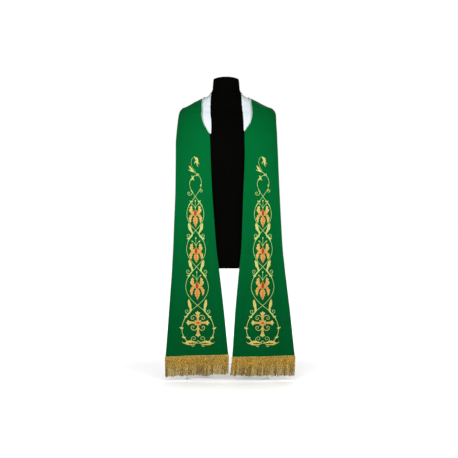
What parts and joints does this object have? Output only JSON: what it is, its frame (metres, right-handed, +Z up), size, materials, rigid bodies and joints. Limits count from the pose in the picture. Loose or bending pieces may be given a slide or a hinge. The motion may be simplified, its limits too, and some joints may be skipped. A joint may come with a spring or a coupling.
{
  "type": "clerical stole on a dress form",
  "caption": "Long fringed cloth stole with a white neck band, laid over the shoulders of a limbless dress form that stands on posts and a foot plate.",
  "frame": {"origin": "on the underside of the foot plate, straight below the dress form's axis", "axes": "+Z up, the front of the dress form and the hanging ends of the stole towards -Y, +X towards the left-hand end of the stole"},
  "size_m": [0.5602, 0.3279, 1.3215],
  "materials": {
    "green_cloth": "matt woven gabardine with embroidery",
    "white_cloth": "smooth matt cotton",
    "gold_thread": "twisted gold thread with a soft shine",
    "black_jersey": "matt knitted jersey",
    "white_enamel": "satin powder coat"
  },
  "bodies": {
    "root": {"stole_right": "green_cloth", "stole_left": "green_cloth", "neck_band": "white_cloth", "fringe_right": "gold_thread", "fringe_left": "gold_thread", "dress_form": "black_jersey", "neck_cap": "black_jersey", "post_right": "white_enamel", "post_left": "white_enamel", "stand_plate": "white_enamel"}
  },
  "joints": []
}
